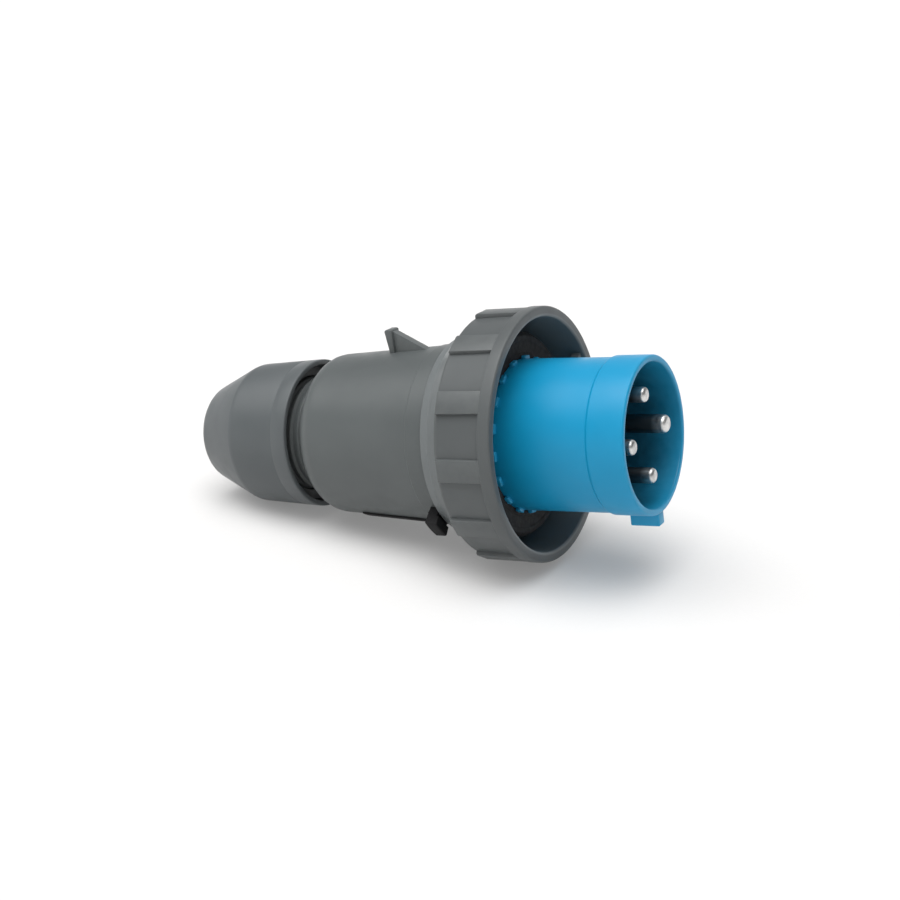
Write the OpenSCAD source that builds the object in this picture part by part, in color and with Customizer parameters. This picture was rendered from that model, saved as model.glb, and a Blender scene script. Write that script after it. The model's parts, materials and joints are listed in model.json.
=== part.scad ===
// Four-pole industrial pin and sleeve plug with a locking ring, lying at rest on its ring and gland nut.
// Every piece is turned or placed about the plug's axis: x runs along the axis towards the pins,
// x = 0 is the front rim of the sleeve, and setbacks are measured from that rim towards the cord.
// An angle is counted round the axis from the top, positive towards +Y.

/* [Sleeve] */
// Outer diameter of the thick band at the front of the sleeve
sleeve_d = 50; // [46:0.5:54]
// Length of the thick band
band_len = 12; // [6:0.5:18]
// Height of the band above the rest of the sleeve
band_step = 0.6; // [0.3:0.1:1.2]
// Wall of the sleeve under the band
sleeve_wall = 2.2; // [1.6:0.1:2.8]
// Depth inside the sleeve, from the rim to the face that the pins stand on
sleeve_depth = 38; // [34:0.5:40]
// Rounding of the sleeve's rim
rim_round = 0.7; // [0.3:0.1:1]
// Width of the key under the sleeve
key_w = 4.2; // [3:0.1:6]
// Height of the key above the band
key_h = 4.2; // [2.5:0.1:5]
// Length of the key
key_len = 10.5; // [6:0.5:12]
// Number of small ribs that hold the gasket on the sleeve
nub_count = 18; // [12:1:24]
// Height of those ribs
nub_h = 1.1; // [0.6:0.1:1.6]
// Width of those ribs
nub_w = 3.2; // [2:0.1:4]
// Length of those ribs
nub_len = 1.7; // [1:0.1:2.5]

/* [Pins] */
// Diameter of the circle that the pins stand on
pin_circle_d = 26.1; // [24:0.1:28]
// Diameter of a line pin
pin_d = 5; // [4.5:0.1:5.5]
// Diameter of the earth pin
earth_d = 6; // [5.5:0.1:7]
// Setback of the line pins' tips behind the rim
pin_setback = 1.2; // [0.5:0.1:3]
// How far the earth pin reaches past the line pins
earth_lead = 0.6; // [0:0.1:1.2]
// Angle of the first line pin, from the top
pin_turn = 0; // [-6:1:6]
// Step of a pin's thicker root, which holds it in the carrier, on the radius
root_step = 0.6; // [0.5:0.1:0.9]
// Diameter of the terminal barrel behind each pin
barrel_d = 9; // [8:0.1:10]
// Length of the terminal barrel
barrel_len = 33; // [28:0.5:36]
// Diameter of the hole for the conductor
wire_d = 4; // [3:0.1:5]
// Depth of the hole for the conductor
wire_depth = 13; // [10:0.5:16]
// Thread diameter of a terminal screw
screw_d = 3.5; // [3:0.1:4]
// Length of a terminal screw
screw_len = 6; // [5:0.1:7]
// Distance of the terminal screws from the barrels' rear ends
screw_back = 6; // [5:0.1:8]
// Width and depth of a screw's slot
slot_w = 0.8; // [0.5:0.1:1]

/* [Carrier] */
// Thickness of the wall that holds the pins
base_t = 6; // [4:0.1:8]
// Setback of the gasket's front face
gasket_setback = 44.5; // [43:0.1:47]
// Thickness of the gasket
gasket_t = 3.5; // [2.5:0.1:4.5]
// Step from the flange's edge down to the gasket's, on the radius
gasket_lip = 1.5; // [0.8:0.1:3]
// Depth of the step that the gasket sits on
seat_t = 4; // [3:0.1:5]
// Room between the flange's edge and the ring's inside
flange_clear = 3.1; // [2:0.1:5]
// Thickness of the flange
flange_t = 3.7; // [2.5:0.1:4.5]
// Wall of the spigot that enters the housing
spigot_wall = 2.8; // [2:0.1:4]
// Length of the spigot
spigot_len = 12; // [9:0.5:14]
// Section diameter of the sealing ring on the spigot
oring_d = 2.3; // [1.8:0.1:2.6]
// Distance from the flange to the middle of the sealing ring
oring_back = 4.5; // [3.5:0.1:6]
// Distance from the gasket's rear face to the step where the insert widens into its core
core_back = 1.2; // [0.5:0.1:3]
// Height of that step, on the radius
core_step = 0.8; // [0.4:0.1:2]
// Thickness of the plate behind the terminals
retainer_t = 3; // [2:0.1:4]
// Thread diameter of the plate's screws
plate_screw_d = 3; // [2.5:0.1:3.5]
// Length of the plate's screws
plate_screw_len = 9; // [7:0.5:12]
// Distance of the plate's screws from the axis
plate_screw_r = 17.5; // [16.5:0.1:18]

/* [Locking ring] */
// Outer diameter of the ring's front rim
ring_d = 82.2; // [80:0.2:86]
// Setback of the ring's front face
ring_setback = 36.3; // [34:0.1:38]
// Width of the smooth band at the front
ring_band = 4.2; // [3:0.1:6]
// Wall of the ring at its front rim
ring_wall = 3.5; // [3:0.1:4.5]
// Rounding of the ring's front edges
ring_round = 0.8; // [0.4:0.1:1.2]
// Number of grip ribs
rib_count = 12; // [8:1:16]
// Width of a grip rib
rib_w = 7.2; // [5:0.1:10]
// Depth of the panels between the ribs
rib_h = 1.3; // [1:0.1:2]
// Length of the grip ribs
rib_len = 15.2; // [12:0.1:18]
// Narrowing of the ribs towards the rear, on the radius
rib_taper = 0.4; // [0:0.1:0.8]
// Rounding of the ribs' rear edges
rib_round = 0.8; // [0.4:0.1:1]
// Length of the cone behind the ribs
ring_cone_len = 6.9; // [6:0.1:9]
// Wall of the collar behind the cone, at its rear edge
collar_wall = 1.9; // [1.5:0.1:3]
// Taper of the collar towards its rear edge, on the radius
collar_taper = 0.6; // [0.2:0.1:1]
// Length of the collar
collar_len = 2.9; // [2:0.1:6]
// Turn of the ring between open and locked
ring_turn = 60; // [45:5:75]
// Number of bayonet ramps inside the ring
ramp_count = 2; // [2:1:3]
// Height of a bayonet ramp
ramp_h = 1.9; // [1.2:0.1:2.1]
// Axial width of a bayonet ramp
ramp_w = 3; // [2:0.1:4]
// Rise of a ramp along the axis
ramp_rise = 3.6; // [2:0.1:4.5]
// Angle that a ramp covers
ramp_sweep = 60; // [40:1:80]
// Angle of the first ramp round the axis
ramp_at = 90; // [0:1:180]

/* [Housing] */
// Wall of the housing round the spigot
housing_front_wall = 3.5; // [2.5:0.1:5]
// Outer diameter of the housing at its rear shoulder
housing_rear_d = 53.3; // [52:0.1:57]
// Length of the housing from the flange to its rear end
housing_len = 62.3; // [58:0.1:66]
// Rounding of the rear shoulder
shoulder_round = 7.5; // [4:0.1:7.5]
// Wall of the housing
housing_wall = 2.6; // [2:0.1:3]
// Distance from the flange to the low step that ends the housing's front zone
step_back = 16.8; // [12:0.1:19]
// Height of that step
step_h = 0.3; // [0.1:0.1:0.6]
// Distance from the flange to the bead that holds the ring
bead_back = 3.2; // [3:0.1:4]
// Width of the bead
bead_w = 2; // [1.4:0.1:2.6]
// Height of the bead
bead_h = 1; // [0.6:0.1:1.2]
// Height of the stop lug on the bead
stop_h = 2.4; // [2:0.1:2.6]
// Width of the stop lug, as an angle
stop_deg = 14; // [8:1:20]
// Angle of the stop lug round the axis
stop_at = 30; // [10:1:60]
// Height of the coupling hook's top above the axis
hook_r = 36; // [34:0.1:37]
// Distance from the flange to the foot of the hook's slope
hook_back = 20.5; // [19:0.1:22]
// Length of the hook's sloping web
hook_slope = 12; // [9:0.1:14]
// Thickness of the hook's post
hook_post_t = 3; // [2:0.1:4]
// Lean of the post's rear face
hook_lean = 1.5; // [0:0.1:2]
// Width of the hook's post
hook_post_w = 5; // [4:0.1:8]
// Width of the hook's sloping web
hook_web_w = 3; // [2:0.1:4]
// Outer diameter of the threaded neck
neck_d = 39.2; // [37:0.1:40]
// Length of the threaded neck
neck_len = 18; // [17:0.1:19]
// Bore of the neck
neck_bore_d = 30.4; // [28:0.1:31]
// Depth of the neck's bore
neck_bore_len = 16.5; // [14:0.1:18]
// Diameter of the passage from the neck into the housing
passage_d = 24; // [20:0.5:26]
// Depth of the neck's thread
thread_h = 0.8; // [0.4:0.1:1]
// Pitch of the neck's thread
thread_pitch = 3; // [2:0.5:4]

/* [Gland nut] */
// Gap between the housing's shoulder and the nut, as it stands in the photograph
nut_gap = 4.1; // [4:0.1:6]
// Outer diameter of the nut at its front rim
nut_front_d = 50.8; // [49:0.1:54]
// Outer diameter of the nut where its cone starts
nut_rear_d = 48.2; // [46:0.1:50]
// Length of the nut's nearly straight part
nut_grip_len = 23.7; // [22:0.1:28]
// Length of the nut's cone
nut_cone_len = 19.5; // [18:0.1:22]
// Diameter of the nut's rear end before its rounding
nut_end_d = 30.6; // [28:0.1:34]
// Rounding of the nut's rear end
nut_end_round = 6; // [3:0.1:6.5]
// Rounding where the cone starts
nut_corner_round = 5; // [1:0.1:8]
// Depth of the recess in the nut's front
nut_recess = 5; // [3:0.1:7]
// Wall of the nut round its front recess
nut_wall = 1.8; // [1.2:0.1:2.4]
// Cord opening in the nut
cord_d = 19; // [16:0.5:20]
// Length of the cord opening
cord_len = 6.5; // [5:0.1:9]
// Travel of the nut from loose to tight
nut_travel = 3.6; // [2:0.1:3.7]
// Thickness of the slip washer inside the nut
washer_t = 2; // [1.5:0.1:2.5]
// Outer diameter of the slip washer
washer_d = 24.4; // [23:0.1:26]

/* [Gland insert] */
// Outer diameter of the rubber seal
seal_d = 29.8; // [27:0.1:30.2]
// Bore of the rubber seal
seal_bore_d = 14; // [10:0.5:18]
// Length of the rubber seal
seal_len = 13.6; // [11:0.1:13.7]
// Diameter of the clamp cage's flange
cage_flange_d = 33.6; // [32:0.1:34]
// Thickness of the clamp cage's flange
cage_flange_t = 2; // [1.5:0.1:2.5]
// Depth of the cage inside the neck
cage_plug_len = 2.6; // [2:0.1:3]
// Number of clamp fingers
finger_count = 10; // [8:1:12]
// Length of the fingers
finger_len = 14.4; // [9:0.1:14.5]
// Wall of the fingers
finger_t = 2.2; // [1.6:0.1:2.6]
// Outer diameter of the fingers at their ends
finger_end_d = 21.6; // [20:0.1:22]
// Slot between two fingers
finger_slot = 1.6; // [1:0.1:2.4]

/* [Housing catch] */
// Angle of the catch round the axis, on the side away from +Y
catch_at = -131; // [-160:1:-120]
// Angle that the catch covers
catch_deg = 17; // [12:1:36]
// Setback of the catch's rear face behind the ring's collar
catch_back = 3.9; // [2:0.1:5]
// Length of the catch's nose over the collar
nose_len = 1.4; // [1:0.1:2]
// Thickness of the catch over its nose
catch_t = 3.2; // [1.6:0.1:4]
// Rounding of the catch's rear edge
catch_round = 1; // [0.5:0.1:1.6]
// Depth of the pocket that holds the catch
pocket_depth = 1.2; // [0.6:0.1:1.6]

/* [Fits] */
// Gap between pieces that turn or slide on each other
run_gap = 0.3; // [0.2:0.05:0.4]
// Gap round a piece that is pushed into its seat
seat_gap = 0.1; // [0.05:0.05:0.2]

/* [Hidden] */
$fn = 96;
ARC_STEPS = 5;
EPS = 0.01;
BLUE = [0.11, 0.55, 0.80];
GREY = [0.42, 0.44, 0.45];
DARK_GREY = [0.34, 0.36, 0.37];
BLACK = [0.08, 0.08, 0.09];
NICKEL = [0.80, 0.80, 0.78];
BRASS = [0.78, 0.62, 0.30];
STEEL = [0.70, 0.71, 0.73];

// Sleeve and carrier
sleeve_r = sleeve_d / 2 - band_step;
sleeve_bore_r = sleeve_d / 2 - sleeve_wall;
flange_d = ring_d - 2 * (ring_wall + flange_clear);
gasket_d = flange_d - 2 * gasket_lip;
seat_at = gasket_setback + gasket_t;
flange_front = seat_at + seat_t;
flange_rear = flange_front + flange_t;
core_front = seat_at + core_back;
core_bore_r = sleeve_bore_r + core_step;
core_d = 2 * (core_bore_r - seat_gap);
spigot_d = 2 * (core_bore_r + spigot_wall);
spigot_rear = flange_rear + spigot_len;
oring_at = flange_rear + oring_back;
housing_bore_r = spigot_d / 2 + seat_gap;
oring_floor_r = housing_bore_r - oring_d - 2 * seat_gap;
pin_r = pin_circle_d / 2;
barrel_front = sleeve_depth + base_t;
barrel_rear = barrel_front + barrel_len;
core_rear = barrel_rear + run_gap;
screw_at = barrel_rear - screw_back;
pin_angles = [for (i = [0:3]) pin_turn + i * 90];
EARTH = 1;
PLATE_SCREWS = [45, 225];

// Locking ring
ring_r = ring_d / 2;
ring_bore_r = ring_r - ring_wall;
panel_r = ring_r - rib_h;
rib_front = ring_setback + ring_band;
rib_rear = rib_front + rib_len;
cone_foot = rib_rear + ring_cone_len;
ring_rear = cone_foot + collar_len;
web_front = flange_rear + run_gap;
housing_front_d = 2 * (housing_bore_r + housing_front_wall);
collar_bore_r = housing_front_d / 2 + run_gap;
collar_d = 2 * (collar_bore_r + collar_wall);

// Housing
bead_front = flange_rear + bead_back;
bead_rear = bead_front + bead_w;
bead_r = housing_front_d / 2 + bead_h;
stop_r = housing_front_d / 2 + stop_h;
step_at = flange_rear + step_back;
housing_rear = flange_rear + housing_len;
neck_rear = housing_rear + neck_len;
neck_floor = neck_rear - neck_bore_len;

// Gland nut, washer and insert
nut_front = housing_rear + nut_gap;
nut_corner = nut_front + nut_grip_len;
nut_rear = nut_corner + nut_cone_len;
nut_bore_r = neck_d / 2 + run_gap;
washer_rear = nut_rear - cord_len - run_gap;
washer_front = washer_rear - washer_t;
nut_seat_front = washer_front - run_gap;
nut_thread_rear = neck_rear + nut_travel - run_gap;
cage_rear = neck_rear + cage_flange_t;
finger_rear = cage_rear + finger_len;
seal_front = neck_floor + run_gap / 2;

// Catch
housing_slope = (housing_front_d - housing_rear_d) / 2 / (housing_rear - bead_rear);
catch_front = ring_rear + run_gap;
catch_rear = ring_rear + catch_back;
pocket_r = housing_r(catch_rear) - pocket_depth;
nose_r = collar_d / 2 + collar_taper + run_gap;
catch_r = nose_r + catch_t;

// The pose at rest: the rear edge of the ring's lowest rib and the nut's corner both touch the ground
rib_top_front = ring_r - 0.2;
rib_top_rear = ring_r - rib_taper;
edge = fillet_centre([-rib_front, rib_top_front], [-rib_rear, rib_top_rear], [-rib_rear, 0], rib_round);
corner = fillet_centre([-nut_front, nut_front_d / 2], [-nut_corner, nut_rear_d / 2],
  [-nut_rear, nut_end_d / 2], nut_corner_round);
rest_tilt = atan2(edge[1] - corner[1], edge[0] - corner[0])
  + asin((rib_round - nut_corner_round) / norm(edge - corner));
rest_lift = edge[1] * cos(rest_tilt) + rib_round - edge[0] * sin(rest_tilt);
tail = fillet_centre([-nut_corner, nut_rear_d / 2], [-nut_rear, nut_end_d / 2], [-nut_rear, 0],
  nut_end_round);
low_x = tail[0] * cos(rest_tilt) - tail[1] * sin(rest_tilt) - nut_end_round;
high_x = (sleeve_d / 2 + key_h) * sin(rest_tilt) - rim_round * cos(rest_tilt);
rest_shift = -(low_x + high_x) / 2;

// Radius of the housing's tapered outside at a setback
function housing_r(s) = housing_front_d / 2 - max(0, s - bead_rear) * housing_slope;

function unit(v) = v / norm(v);

// Centre of an arc of radius r that rounds the corner b between a and c
function fillet_centre(a, b, c, r) =
  let (u = unit(a - b), v = unit(c - b), half = acos(u * v) / 2)
  b + unit(u + v) * r / sin(half);

// Points of that arc
function fillet(a, b, c, r) =
  let (u = unit(a - b), v = unit(c - b), half = acos(u * v) / 2, m = fillet_centre(a, b, c, r),
    p = b + u * r / tan(half) - m, q = b + v * r / tan(half) - m,
    sweep = acos(max(-1, min(1, unit(p) * unit(q)))), way = sign(p[0] * q[1] - p[1] * q[0]))
  [for (i = [0:ARC_STEPS]) let (t = way * sweep * i / ARC_STEPS)
    m + [p[0] * cos(t) - p[1] * sin(t), p[0] * sin(t) + p[1] * cos(t)]];

// An outline of [x, radius, rounding] corners, with the rounded ones as arcs
function rounded(pts) = [for (i = [0:len(pts) - 1])
  let (a = pts[(i + len(pts) - 1) % len(pts)], b = pts[i], c = pts[(i + 1) % len(pts)],
    far = [c[0], c[1]], near = [a[0], a[1]], here = [b[0], b[1]])
  each (len(b) < 3 || b[2] == 0 ? [here] : fillet(near, here, far, b[2]))];

// The whole plug, from its own axis to its place at rest
module at_rest() {
  translate([rest_shift, 0, rest_lift]) rotate([0, -rest_tilt, 0]) children();
}

// A solid turned about the plug's axis from an outline of [x, radius] corners
module turned(pts) {
  rotate([0, 90, 0]) rotate_extrude() polygon([for (p = rounded(pts)) [p[1], p[0]]]);
}

// A slice of such a solid, deg wide and centred on the angle at
module slice(pts, at, deg) {
  rotate([0, 90, 0]) rotate([0, 0, 180 - at - deg / 2])
    rotate_extrude(angle = deg) polygon([for (p = rounded(pts)) [p[1], p[0]]]);
}

// Children modelled above the axis, turned round to the angle at
module round_axis(at) {
  rotate([-at, 0, 0]) children();
}

// A rod along the axis between two setbacks, r_off away from it
module rod(front, rear, r, r_off = 0) {
  translate([-rear, 0, r_off]) rotate([0, 90, 0]) cylinder(h = rear - front, r = r);
}

// A rod that points away from the axis, between two radii
module radial_rod(at_x, low, high, r) {
  translate([at_x, 0, low]) cylinder(h = high - low, r = r);
}

module key() {
  translate([-key_len, -key_w / 2, -(sleeve_d / 2 + key_h)])
    cube([key_len - rim_round, key_w, key_h + sleeve_wall]);
}

module nub(i) {
  round_axis(i * 360 / nub_count + 180 / nub_count)
    translate([-gasket_setback, -nub_w / 2, sleeve_r - sleeve_wall / 2])
      cube([nub_len, nub_w, sleeve_wall / 2 + nub_h]);
}

module plate_screw_holes(front, rear, r) {
  for (side = PLATE_SCREWS) round_axis(side) rod(front, rear, r, plate_screw_r);
}

// Sleeve with its key, the flange behind the gasket and the spigot that enters the housing
module plug_sleeve() {
  color(BLUE) at_rest() {
    turned([[0, sleeve_bore_r, rim_round], [0, sleeve_d / 2, rim_round], [-band_len, sleeve_d / 2],
      [-band_len - band_step, sleeve_r], [-seat_at, sleeve_r], [-seat_at, gasket_d / 2],
      [-flange_front, gasket_d / 2], [-flange_front, flange_d / 2, rim_round],
      [-flange_rear, flange_d / 2, rim_round], [-flange_rear, spigot_d / 2],
      [-(oring_at - oring_d * 0.6), spigot_d / 2], [-(oring_at - oring_d * 0.6), oring_floor_r],
      [-(oring_at + oring_d * 0.6), oring_floor_r], [-(oring_at + oring_d * 0.6), spigot_d / 2],
      [-spigot_rear, spigot_d / 2, rim_round], [-spigot_rear, core_bore_r],
      [-core_front, core_bore_r], [-core_front, sleeve_bore_r]]);
    key();
    for (i = [0:nub_count - 1]) nub(i);
  }
}

// Insert that holds the pins, pushed into the sleeve from behind
module contact_carrier() {
  base_r = sleeve_bore_r - seat_gap;
  color(BLUE) at_rest() difference() {
    turned([[-sleeve_depth, 0], [-sleeve_depth, base_r, 0.5], [-core_front - seat_gap, base_r],
      [-core_front - seat_gap, core_d / 2], [-core_rear, core_d / 2, rim_round], [-core_rear, 0]]);
    for (i = [0:3]) round_axis(pin_angles[i]) {
      rod(sleeve_depth - 1, barrel_front, contact_r(i) + root_step + seat_gap, pin_r);
      rod(barrel_front - EPS, core_rear + 1, barrel_d / 2 + seat_gap, pin_r);
      radial_rod(-screw_at, pin_r, core_d / 2 + 1, screw_d / 2 + run_gap);
    }
    plate_screw_holes(core_rear - plate_screw_len, core_rear + 1, plate_screw_d / 2 + seat_gap);
  }
}

function contact_r(i) = (i == EARTH ? earth_d : pin_d) / 2;
function contact_tip(i) = pin_setback - (i == EARTH ? earth_lead : 0);

// Contact pin with its terminal barrel, bored for the conductor and drilled for the screw
module contact_pin(i) {
  r = contact_r(i);
  color(NICKEL) at_rest() round_axis(pin_angles[i]) difference() {
    translate([0, 0, pin_r]) union() {
      turned([[-contact_tip(i), 0], [-contact_tip(i), r, r * 0.55], [-sleeve_depth - seat_gap, r],
        [-sleeve_depth - seat_gap, r + root_step], [-barrel_front - seat_gap, r + root_step],
        [-barrel_front - seat_gap, barrel_d / 2], [-barrel_rear, barrel_d / 2, 0.5], [-barrel_rear, 0]]);
    }
    rod(barrel_rear - wire_depth, barrel_rear + 1, wire_d / 2, pin_r);
    radial_rod(-screw_at, pin_r, pin_r + barrel_d, screw_d / 2 + seat_gap);
  }
}

module terminal_screw(i) {
  low = pin_r + wire_d / 2 - 0.6;
  color(STEEL) at_rest() round_axis(pin_angles[i]) difference() {
    radial_rod(-screw_at, low, low + screw_len, screw_d / 2);
    translate([-screw_at - screw_d, -slot_w / 2, low + screw_len - slot_w])
      cube([2 * screw_d, slot_w, slot_w + 1]);
  }
}

module pin_retainer() {
  color(BLUE) at_rest() difference() {
    turned([[-core_rear, 0], [-core_rear, core_d / 2 - 1.5], [-core_rear - retainer_t, core_d / 2 - 1.5, 0.8],
      [-core_rear - retainer_t, 0]]);
    for (a = pin_angles) round_axis(a)
      rod(core_rear - 1, core_rear + retainer_t + 1, wire_d / 2 + 0.8, pin_r);
    plate_screw_holes(core_rear - 1, core_rear + retainer_t + 1, plate_screw_d / 2 + seat_gap);
  }
}

module retainer_screw(at) {
  head_r = plate_screw_d * 0.9;
  head_h = plate_screw_d * 0.6;
  plate_rear = core_rear + retainer_t;
  color(STEEL) at_rest() round_axis(at) difference() {
    translate([0, 0, plate_screw_r]) turned([[-(plate_rear - plate_screw_len), 0],
      [-(plate_rear - plate_screw_len), plate_screw_d / 2, 0.4], [-plate_rear, plate_screw_d / 2],
      [-plate_rear, head_r], [-plate_rear - head_h, head_r, 0.6], [-plate_rear - head_h, 0]]);
    translate([-plate_rear - head_h - 1, -head_r - 1, plate_screw_r - slot_w / 2])
      cube([1 + head_h / 2, 2 * head_r + 2, slot_w]);
  }
}

module flange_gasket() {
  color(BLACK) at_rest() turned([[-gasket_setback, sleeve_r + seat_gap],
    [-gasket_setback, gasket_d / 2 - 1.2, 0.5], [-gasket_setback - 1.2, gasket_d / 2, 0.5],
    [-seat_at, gasket_d / 2], [-seat_at, sleeve_r + seat_gap]]);
}

module housing_seal() {
  color(BLACK) at_rest() translate([-oring_at, 0, 0]) rotate([0, 90, 0])
    rotate_extrude() translate([oring_floor_r + oring_d / 2 + seat_gap, 0]) circle(d = oring_d, $fn = 32);
}

// Bayonet ramp: a slanted slice of the wall, which draws the plug into its socket as the ring turns
module bayonet_ramp(at) {
  mid = ring_setback + 1.5 + (ramp_w + ramp_rise) / 2;
  chord = 2 * ring_bore_r * sin(ramp_sweep / 2);
  intersection() {
    slice([[-web_front, ring_bore_r + 1], [-web_front, ring_bore_r - ramp_h],
      [-ring_setback, ring_bore_r - ramp_h], [-ring_setback, ring_bore_r + 1]], at, ramp_sweep);
    round_axis(at) translate([-mid, 0, ring_bore_r]) rotate([0, 0, atan(ramp_rise / chord)])
      cube([ramp_w, 2 * chord, ring_bore_r], center = true);
  }
}

// Flat-topped grip ribs, so that the lowest one gives the plug a firm foot
module ring_ribs() {
  for (i = [0:rib_count - 1]) round_axis(i * 360 / rib_count) rotate([90, 0, 0])
    linear_extrude(rib_w, center = true) polygon(rounded([[-rib_front + 1, panel_r - 1],
      [-rib_front + 1, rib_top_front], [-rib_rear, rib_top_rear, rib_round], [-rib_rear, panel_r - 1]]));
}

module locking_ring() {
  color(DARK_GREY) at_rest() difference() {
    union() {
      round_axis(180 / rib_count) turned([[-ring_setback, ring_bore_r, ring_round],
        [-ring_setback, ring_r, ring_round],
        [-rib_front, ring_r], [-rib_front, panel_r], [-rib_rear, panel_r - rib_taper, 1.2],
        [-cone_foot, collar_d / 2 + collar_taper, 1.5], [-ring_rear, collar_d / 2, 0.6],
        [-ring_rear, collar_bore_r],
        [-(bead_rear + run_gap), collar_bore_r], [-(bead_rear + run_gap), bead_r + run_gap],
        [-(bead_front - run_gap), bead_r + run_gap], [-(bead_front - run_gap), collar_bore_r],
        [-web_front, collar_bore_r], [-web_front, ring_bore_r, 3]]);
      ring_ribs();
      for (i = [0:ramp_count - 1]) bayonet_ramp(ramp_at + i * 360 / ramp_count);
    }
    // Groove for the housing's stop lug, as long as the ring's turn
    slice([[-(bead_rear + run_gap / 2), bead_r], [-(bead_rear + run_gap / 2), stop_r + run_gap],
      [-(bead_front - run_gap / 2), stop_r + run_gap], [-(bead_front - run_gap / 2), bead_r]],
      stop_at + ring_turn / 2, ring_turn + stop_deg + 2);
  }
}

// Fixed hook that a socket's cover drops behind
module coupling_hook() {
  foot = flange_rear + hook_back;
  top = foot + hook_slope;
  low = housing_rear_d / 2 - 1;
  rotate([90, 0, 0]) linear_extrude(hook_web_w, center = true)
    polygon([[-foot, low], [-foot, housing_r(foot) - 0.2], [-top, hook_r - 0.6], [-top - hook_post_t / 2, hook_r - 0.6],
      [-top - hook_post_t / 2, low]]);
  rotate([90, 0, 0]) linear_extrude(hook_post_w, center = true)
    polygon([[-top, low], [-top, hook_r - 0.5], [-top - 0.5, hook_r], [-top - hook_post_t + 0.5, hook_r],
      [-top - hook_post_t, hook_r - 0.5], [-top - hook_post_t + hook_lean, low]]);
}

// Ridges of the neck's thread, from the housing's shoulder to the neck's end
THREAD = [for (i = [0:floor((neck_len - 3) / thread_pitch) - 1])
  let (x = -(housing_rear + 3.5 + i * thread_pitch), root = neck_d / 2 - thread_h)
  each [[x + thread_pitch / 3, root], [x + thread_pitch / 10, neck_d / 2],
    [x - thread_pitch / 10, neck_d / 2], [x - thread_pitch / 3, root]]];

module rear_housing() {
  color(GREY) at_rest() difference() {
    union() {
      turned([[-flange_rear, housing_bore_r], [-flange_rear, housing_front_d / 2, 0.5],
        [-bead_front, housing_front_d / 2], [-bead_front, bead_r, 0.4], [-bead_rear, bead_r, 0.4],
        [-bead_rear, housing_front_d / 2], [-step_at, housing_r(step_at) + step_h],
        [-step_at - step_h, housing_r(step_at + step_h)], [-housing_rear, housing_rear_d / 2, shoulder_round],
        [-housing_rear, neck_d / 2 - thread_h], each THREAD, [-neck_rear, neck_d / 2 - thread_h, 0.4],
        [-neck_rear, neck_bore_d / 2], [-neck_floor, neck_bore_d / 2], [-neck_floor, passage_d / 2],
        [-(housing_rear - housing_wall), passage_d / 2],
        [-(housing_rear - housing_wall - 2), housing_rear_d / 2 - housing_wall - 1, 2],
        [-(spigot_rear + 1), housing_bore_r - 1.2], [-(spigot_rear + 1), housing_bore_r]]);
      coupling_hook();
      slice([[-bead_front - 0.5, housing_front_d / 2 - 1], [-bead_front - 0.5, stop_r],
        [-bead_rear + 0.5, stop_r], [-bead_rear + 0.5, housing_front_d / 2 - 1]], stop_at, stop_deg);
    }
    slice([[-catch_front, pocket_r], [-catch_front, catch_r], [-catch_rear - seat_gap, catch_r],
      [-catch_rear - seat_gap, pocket_r]], catch_at, catch_deg + 0.4);
  }
}

// Catch in the housing whose nose reaches over the ring's collar
module housing_catch() {
  color(BLACK) at_rest() slice([[-catch_front, pocket_r + seat_gap], [-catch_front, nose_r],
    [-ring_rear + nose_len, nose_r], [-ring_rear + nose_len, catch_r, 0.6],
    [-catch_rear, catch_r, catch_round], [-catch_rear, pocket_r + seat_gap]], catch_at, catch_deg);
}

module gland_seal() {
  color(BLACK) at_rest() turned([[-seal_front, seal_bore_d / 2, 0.8], [-seal_front, seal_d / 2, 0.8],
    [-seal_front - seal_len, seal_d / 2, 0.8], [-seal_front - seal_len, seal_bore_d / 2, 1.5]]);
}

module clamp_cage() {
  cage_r = neck_bore_d / 2 - run_gap;
  color(GREY) at_rest() difference() {
    turned([[-(neck_rear - cage_plug_len), cage_r - finger_t], [-(neck_rear - cage_plug_len), cage_r],
      [-neck_rear, cage_r], [-neck_rear, cage_flange_d / 2], [-cage_rear, cage_flange_d / 2, 0.4],
      [-cage_rear, cage_r], [-finger_rear, finger_end_d / 2, 0.5],
      [-finger_rear, finger_end_d / 2 - finger_t], [-cage_rear, cage_r - finger_t]]);
    for (i = [0:finger_count - 1]) round_axis(i * 360 / finger_count)
      translate([-finger_rear - 1, -finger_slot / 2, 0]) cube([finger_len + 1 - 0.6, finger_slot, cage_flange_d]);
  }
}

module gland_washer() {
  color(STEEL) at_rest() turned([[-washer_front, cord_d / 2 + 0.2], [-washer_front, washer_d / 2, 0.3],
    [-washer_rear, washer_d / 2, 0.3], [-washer_rear, cord_d / 2 + 0.2]]);
}

module gland_nut() {
  pocket = washer_d / 2 + run_gap;
  color(GREY) at_rest() turned([[-nut_front, nut_front_d / 2 - nut_wall, 0.4],
    [-nut_front, nut_front_d / 2, 0.6], [-nut_corner, nut_rear_d / 2, nut_corner_round],
    [-nut_rear, nut_end_d / 2, nut_end_round], [-nut_rear, cord_d / 2, 0.8],
    [-(nut_rear - cord_len), cord_d / 2], [-(nut_rear - cord_len), pocket],
    [-nut_seat_front, pocket], [-nut_thread_rear, nut_bore_r], [-(nut_front + nut_recess), nut_bore_r],
    [-(nut_front + nut_recess), nut_front_d / 2 - nut_wall - 0.4, 0.5]]);
}

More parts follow.
